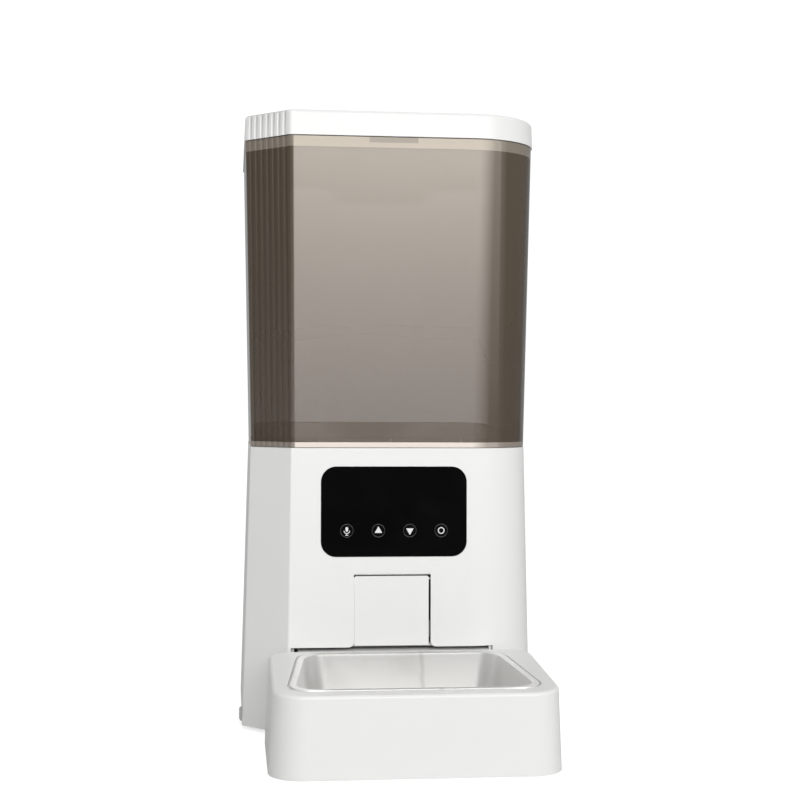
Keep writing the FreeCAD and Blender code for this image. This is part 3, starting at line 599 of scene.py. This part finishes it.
def settle(piece, name, material, body):
    """Applies the piece's place, smooths it, names it and hands it to its body."""
    take(piece)
    bpy.ops.object.transform_apply(location=True, rotation=True, scale=True)
    bpy.ops.object.shade_smooth_by_angle(angle=math.radians(35))
    piece.name = name
    piece.data.name = name
    piece.data.materials.clear()
    piece.data.materials.append(material)
    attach(piece, body)
    print(name, len(piece.data.polygons), "faces on", body)
    return piece


# %% [markdown]
# ## The pressed steel bowl
# A bowl is drawn from flat sheet, so it has one thickness everywhere, a rolled lip, and soft corners
# between its walls and its floor. The frame's bowl gives the size. The lip lies in the tray's sloping
# top, so the bowl is modelled flat first and tilted last. It starts as a box without a lid: the floor is
# made smaller and the tower side narrower, and a bevel rounds the corners. The side walls are painted
# paler than the floor, a painted sheen for the light they reflect, and a darker wandering line runs
# across the steel.

# %% Bowl dimensions
tray_rise = 7.2 * MM          # how much higher the tray's top is at the tower
tilt = math.atan(tray_rise / (front_y - tray_low[1]))
lip_front = bowl_high[0] - bowl_low[0]
lip_back = lip_front - 21.0 * MM
lip_length = (bowl_high[1] - bowl_low[1]) / math.cos(tilt)
lip_width = 2.6 * MM
lip_rise = 1.0 * MM           # the lip's step above the wall
lip_curl = 0.35 * MM          # how far its edge is turned down
bowl_depth = 28.6 * MM
bowl_corner = 13 * MM
floor_corner = 8 * MM
sheet = 0.8 * MM
seat_drop = 1.35 * MM         # how deep the bowl sits in the tray
tray_front_top = 47.6 * MM
print("lip", round(lip_front / MM, 1), "x", round(lip_length / MM, 1))
print("tilt", round(math.degrees(tilt), 2))


# %% Bowl
def pressed_bowl():
    mouth_x = lip_front - 2 * lip_width
    mouth_y = lip_length - 2 * lip_width
    bowl = block((0, 0, -0.5 * bowl_depth), (mouth_x, mouth_y, bowl_depth))
    edit(bowl)
    pick(bowl, lambda f: f.normal.z > 0.9)
    bpy.ops.mesh.delete(type="FACE")
    pick(bowl, lambda f: f.normal.z < -0.9)
    bpy.ops.transform.resize(value=(0.92, 0.86, 1))
    bpy.ops.mesh.select_mode(type="VERT")
    pick(bowl, lambda v: v.co.y > 0, "verts")
    bpy.ops.transform.resize(value=(lip_back / lip_front, 1, 1))
    bpy.ops.mesh.select_mode(type="EDGE")
    pick(bowl, lambda e: rises(e, bowl_depth), "edges")
    bpy.ops.mesh.bevel(offset=bowl_corner, offset_type="OFFSET", segments=12, profile=0.5, affect="EDGES")
    pick(bowl, lambda e: max(v.co.z for v in e.verts) < -0.99 * bowl_depth
         and sum(f.normal.z < -0.9 for f in e.link_faces) == 1, "edges")
    bpy.ops.mesh.bevel(offset=floor_corner, offset_type="OFFSET", segments=8, profile=0.5, affect="EDGES")
    pick(bowl, lambda e: e.is_boundary, "edges")
    bpy.ops.mesh.extrude_edges_move(TRANSFORM_OT_translate={"value": (0, 0, lip_rise)})
    bpy.ops.mesh.extrude_edges_move(TRANSFORM_OT_translate={"value": (0, 0, 0.2 * lip_rise)})
    bpy.ops.transform.resize(value=(lip_front / mouth_x, lip_length / mouth_y, 1))
    bpy.ops.mesh.extrude_edges_move(TRANSFORM_OT_translate={"value": (0, 0, -lip_curl)})
    bpy.ops.mesh.select_all(action="SELECT")
    bpy.ops.mesh.remove_doubles(threshold=0.01 * MM)
    bpy.ops.mesh.normals_make_consistent(inside=True)
    leave()
    wall = bowl.modifiers.new("sheet", "SOLIDIFY")
    wall.thickness = sheet
    wall.offset = -1
    soft = bowl.modifiers.new("rolled_lip", "BEVEL")
    soft.width = 0.32 * MM
    soft.segments = 3
    soft.limit_method = "ANGLE"
    soft.angle_limit = math.radians(50)
    apply_all(bowl)
    centre_x = (bowl_low[0] + bowl_high[0]) / 2
    centre_y = (bowl_low[1] + bowl_high[1]) / 2
    bowl.rotation_euler = (tilt, 0, 0)
    bowl.location = (centre_x, centre_y, (tray_high[2] + tray_front_top) / 2 - seat_drop)
    return bowl


# %% Drawn steel
dark_line_x = 16 * MM           # where the darker wandering line runs
line_sway = 9 * MM
line_half = 2.6 * MM
side_band = 40 * MM           # the walls' painted sheen has gone this far from the sides


def drawn_steel():
    recipe = Recipe("drawn_stainless")
    wave = recipe.noise(13, 1)
    brush = recipe.noise(330, 3, recipe.stretched(0.05, 1, 1))
    wander = dark_line_x + line_sway * (recipe.noise(55, 2) - 0.5)
    off_line = recipe.axis("X") - wander
    line = recipe.ramp(off_line.most(0 - off_line) / line_half, [(0.0, 1.0), (0.5, 0.55), (1.0, 0.0)])
    from_side = (recipe.axis("X") - bowl_low[0]).least(bowl_high[0] - recipe.axis("X"))
    # Painted sheen: the side walls are painted paler than the floor.
    painted_wall_sheen = recipe.ramp(from_side / side_band, [(0.0, 0.0), (0.30, 0.0), (0.62, 1.0)])
    sheen = recipe.shade(painted_wall_sheen + 0.25 * (wave - 0.5), (0.95, 0.945, 0.93), (0.57, 0.565, 0.55))
    stain = recipe.ramp(recipe.noise(30, 3), [(0.54, 0.0), (0.74, 1.0)])
    marks = (0.50 * line).most(0.22 * stain)
    recipe.set(base_color=recipe.blend(marks, sheen, recipe.tint((0.33, 0.32, 0.30))), metallic=0.6)
    recipe.set(roughness=0.38 + 0.10 * (brush - 0.5) + 0.10 * (wave - 0.5))
    recipe.relief(wave + 0.004 * brush + 0.03 * line, 1.2 * MM, 0.5)
    return recipe.material


steel_bowl = settle(pressed_bowl(), "pressed_bowl", drawn_steel(), "bowl")
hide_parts("bowl")

# %% [markdown]
# ## Marks on the keys
# The marks are printed in pale ink on the key caps: a microphone for recording a call, two triangles, and
# a plain ring. Ink has a thickness, so each mark is a thin solid that lies on its cap. All are modelled
# flat, facing the viewer, then leant back with the housing's front.


# %% Ink
def ink_material():
    recipe = Recipe("pale_ink")
    speck = recipe.noise(2600, 2)
    recipe.set(base_color=recipe.shade(speck, (0.86, 0.86, 0.86), (0.74, 0.74, 0.74)))
    recipe.set(roughness=0.5 + 0.2 * (speck - 0.5))
    return recipe.material


ink = ink_material()
ink_depth = 0.12 * MM
ink_sink = 0.10 * MM


def on_key(key, sink):
    """The upright, leaning place at the middle of a key's face, sunk a little."""
    low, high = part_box(key)
    middle = Vector(((low[0] + high[0]) / 2, low[1] + sink, (low[2] + high[2]) / 2))
    return Matrix.Translation(middle) @ Matrix.Rotation(math.pi / 2 - lean, 4, "X")


def print_on(piece, key, name):
    """Turns a flat mark upright, leans it with the panel and lays it on its key's face."""
    take(piece)
    bpy.ops.object.transform_apply(location=True, rotation=True, scale=True)
    piece.matrix_world = on_key(key, ink_sink)
    return settle(piece, name, ink, nodes[key]["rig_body"])


# %% Triangles
def triangle(turn):
    deselect()
    bpy.ops.mesh.primitive_cylinder_add(vertices=3, radius=2.8 * MM, depth=ink_depth,
                                        rotation=(0, 0, turn), location=(0, 0, 0))
    mark = bpy.context.active_object
    edit(mark, "EDGE")
    pick(mark, lambda e: rises(e, ink_depth), "edges")
    bpy.ops.mesh.bevel(offset=0.25 * MM, segments=3, affect="EDGES")
    leave()
    return mark


print_on(triangle(0), "key_up", "mark_up")
print_on(triangle(math.pi), "key_down", "mark_down")


# %% Ring and microphone
def ring(radius, width):
    """A flat ring, opened by an inset in both faces and a bridge between the two holes."""
    deselect()
    bpy.ops.mesh.primitive_cylinder_add(vertices=40, radius=radius, depth=ink_depth, location=(0, 0, 0))
    mark = bpy.context.active_object
    edit(mark)
    pick(mark, lambda f: abs(f.normal.z) > 0.9)
    bpy.ops.mesh.inset(thickness=width)
    bpy.ops.mesh.bridge_edge_loops()
    leave()
    return mark


def join(pieces):
    """Makes one piece of several."""
    deselect()
    for piece in pieces:
        piece.select_set(True)
    bpy.context.view_layer.objects.active = pieces[0]
    bpy.ops.object.join()
    return pieces[0]


def microphone():
    """A capsule over a half ring, on a stem with a foot."""
    head = block((0, 0.95 * MM, 0), (1.7 * MM, 2.9 * MM, ink_depth))
    edit(head, "EDGE")
    pick(head, lambda e: rises(e, ink_depth), "edges")
    bpy.ops.mesh.bevel(offset=0.8 * MM, segments=6, affect="EDGES")
    leave()
    cradle = ring(2.0 * MM, 0.5 * MM)
    edit(cradle, "VERT")
    pick(cradle, lambda v: v.co.y > 0.05 * MM, "verts")
    bpy.ops.mesh.delete(type="VERT")
    bpy.ops.mesh.select_all(action="DESELECT")
    bpy.ops.mesh.select_non_manifold()
    bpy.ops.mesh.fill_holes(sides=8)
    leave()
    stem = block((0, -2.3 * MM, 0), (0.5 * MM, 0.9 * MM, ink_depth))
    foot = block((0, -2.8 * MM, 0), (1.8 * MM, 0.45 * MM, ink_depth))
    return join([head, cradle, stem, foot])


print_on(ring(2.15 * MM, 0.6 * MM), "key_set", "mark_set")
print_on(microphone(), "key_voice", "mark_voice")

# %% [markdown]
# ## Rims round the keys
# Each key sits in a hole in the window, and the hole's polished edge is what catches the light. A flat
# ring is bevelled until its section is round, modelled once, and copied to every key with a mesh of its
# own.


# %% Key rims
def key_rim():
    rim = ring(4.25 * MM, 0.42 * MM)
    rim.scale = (1, 1, 3.0)
    take(rim)
    bpy.ops.object.transform_apply(location=False, rotation=False, scale=True)
    edge = rim.modifiers.new("round", "BEVEL")
    edge.width = 0.15 * MM
    edge.segments = 3
    edge.angle_limit = math.radians(50)
    apply_all(rim)
    return rim


def polished_edge():
    recipe = Recipe("polished_edge")
    recipe.set(base_color=recipe.shade(recipe.noise(400), (0.010, 0.010, 0.011), (0.018, 0.018, 0.019)))
    recipe.set(roughness=0.16 + 0.05 * recipe.noise(300), ior=1.75)
    return recipe.material


rim_pattern = key_rim()
rim_gloss = polished_edge()
rim_sink = 0.15 * MM
window_body = nodes["panel_lens"]["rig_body"]
for key in ("key_voice", "key_up", "key_down", "key_set"):
    rim = rim_pattern.copy()
    rim.data = rim_pattern.data.copy()
    bpy.context.scene.collection.objects.link(rim)
    rim.matrix_world = on_key(key, rim_sink)
    settle(rim, key.replace("key", "rim"), rim_gloss, window_body)
bpy.data.objects.remove(rim_pattern)

# %% [markdown]
# ## Strips round the outlet
# The cover hangs in its opening with room to swing. A soft white strip fills the left gap and another
# narrows the gap above, so that meal doesn't blow out past the cover. Each is a bevelled bar that leans
# with the front.


# %% Outlet strips
def bar(name, across, behind, up):
    """A bar given by its reach across the front, behind its face, and up it from the housing's foot."""
    place = [(low + high) / 2 for low, high in (across, behind, up)]
    size = [high - low for low, high in (across, behind, up)]
    strip = block(place, size)
    edit(strip, "EDGE")
    bpy.ops.mesh.select_all(action="SELECT")
    bpy.ops.mesh.bevel(offset=0.08 * MM, segments=2, affect="EDGES")
    leave()
    strip.matrix_world = Matrix.Translation((0, front_y, foot_height)) @ Matrix.Rotation(-lean, 4, "X")
    return settle(strip, name, shell_white, nodes["housing_shell"]["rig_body"])


outlet_left = -25.32 * MM
outlet_right = 23.52 * MM
cover_left = -24.96 * MM
bar("outlet_strip_left", (outlet_left, cover_left), (0.9 * MM, 2.4 * MM), (54.6 * MM, 97.5 * MM))
bar("outlet_strip_top", (outlet_left, outlet_right), (0.35 * MM, 1.4 * MM), (99.2 * MM, 99.95 * MM))

# %% [markdown]
# ## The drying sachet
# Under the lid a small paper sachet of silica gel keeps the food crisp. It is a pillow: two sheets sealed
# round the edge and filled with beads. A subdivided box is swollen in the middle and pinched at its rim.


# %% Sachet
def sachet():
    low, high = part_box("desiccant_pack")
    size = high - low
    middle = (low + high) / 2
    pillow = block(middle, (size[0] * 0.97, size[1] * 0.97, size[2] * 0.96))
    edit(pillow)
    bpy.ops.mesh.select_all(action="SELECT")
    bpy.ops.mesh.subdivide(number_cuts=15)
    leave()
    for vertex in pillow.data.vertices:
        across = (vertex.co.x - middle.x) / (size[0] / 2)
        along = (vertex.co.y - middle.y) / (size[1] / 2)
        swell = (max(0.0, 1 - across ** 2) * max(0.0, 1 - along ** 2)) ** 0.35
        bead = 0.03 * math.sin(across * 31) * math.sin(along * 29 + across * 7)
        vertex.co.z = middle.z + (vertex.co.z - middle.z) * max(0.06, min(1.0, swell * (0.95 + bead)))
    return pillow


def paper():
    recipe = Recipe("sachet_paper")
    fibre = recipe.noise(900, 5)
    recipe.set(base_color=recipe.shade(fibre, (0.80, 0.80, 0.77), (0.68, 0.68, 0.65)))
    recipe.set(roughness=0.75 + 0.15 * (fibre - 0.5))
    recipe.relief(fibre, 0.08 * MM, 0.6)
    return recipe.material


silica_sachet = settle(sachet(), "silica_sachet", paper(), "lid")
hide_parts("desiccant_pack")

# %% [markdown]
# ## Floor, light and camera
# The floor is pale and plain. One large soft light hangs in front, above and a little to the right, and a
# weak one straight above. The sky gives the rest: dim in front, so that the black window stays black, and
# brighter behind, which lights the tank from inside. The front is the brightest face, and both corners
# fall off gently.


# %% Floor
def pale_floor():
    recipe = Recipe("pale_floor")
    mottle = recipe.noise(3, 3)
    recipe.set(base_color=recipe.shade(mottle, (0.62, 0.62, 0.62), (0.60, 0.60, 0.60)), roughness=0.6)
    seen = recipe.node("ShaderNodeLightPath", output="Is Camera Ray")
    glow = recipe.shade(seen, (0.02, 0.02, 0.02), (0.72, 0.72, 0.72))
    recipe.set(emission_color=glow, emission_strength=1.0)
    return recipe.material


deselect()
bpy.ops.mesh.primitive_plane_add(size=12, location=(0, 0, -0.0002))
floor = bpy.context.active_object
floor.name = "floor"
floor.data.materials.append(pale_floor())
print("floor", [round(side, 2) for side in floor.dimensions])


# %% Lights
def soft_light(name, place, target, width, height, watts):
    lamp = bpy.data.lights.new(name, "AREA")
    lamp.shape = "RECTANGLE"
    lamp.size = width
    lamp.size_y = height
    lamp.energy = watts
    holder = bpy.data.objects.new(name, lamp)
    bpy.context.scene.collection.objects.link(holder)
    holder.location = place
    holder.rotation_euler = (Vector(target) - Vector(place)).to_track_quat("-Z", "Y").to_euler()
    print(name, watts, "W over", width, "x", height, "m")


soft_light("front_softbox", (0.40, -1.95, 1.00), (0, 0, 0.20), 2.3, 1.0, 28.6)
soft_light("top_softbox", (0.0, 0.2, 1.8), (0, 0, 0.2), 1.2, 1.2, 2)

# %% Sky
front_sky = 0.49
back_sky = 0.55
seen_sky = 1.05


def studio_sky():
    """White to the eye all round; as a light it is brighter behind the object and dimmer in front."""
    recipe = Recipe("studio", "worlds", "Background")
    direction = recipe.node("ShaderNodeTexCoord", output="Generated")
    depth = recipe.node("ShaderNodeSeparateXYZ", inputs={0: direction}, output="Y")
    backdrop = recipe.node("ShaderNodeMapRange", {"interpolation_type": "SMOOTHSTEP"},
                           {"Value": depth, "From Min": 0.25, "From Max": 0.80})
    studio = front_sky + (back_sky - front_sky) * backdrop
    seen = recipe.node("ShaderNodeLightPath", output="Is Camera Ray")
    recipe.set(color=(1, 1, 1, 1), strength=studio + (seen_sky - studio) * seen)
    return recipe.material


bpy.context.scene.world = studio_sky()
bpy.context.scene.view_settings.view_transform = "Standard"
print("sky", front_sky, "in front,", back_sky, "behind")

# %% Camera
camera_data = bpy.data.cameras.new("camera")
camera = bpy.data.objects.new("camera", camera_data)
bpy.context.scene.collection.objects.link(camera)
camera_data.lens = 67.77
camera_data.sensor_width = 36
camera_data.shift_x = 0.0158
camera_data.shift_y = 0.0045
pitch = math.radians(90 - 0.122)
heading = math.radians(-5.93)
roll = math.radians(0.271)
stand = Matrix.Translation((-0.1030, -0.9834, 0.2112))
turn = Euler((pitch, 0, heading)).to_matrix().to_4x4()
camera.matrix_world = stand @ turn @ Matrix.Rotation(roll, 4, "Z")
bpy.context.scene.camera = camera
print("camera", camera_data.lens, "mm")
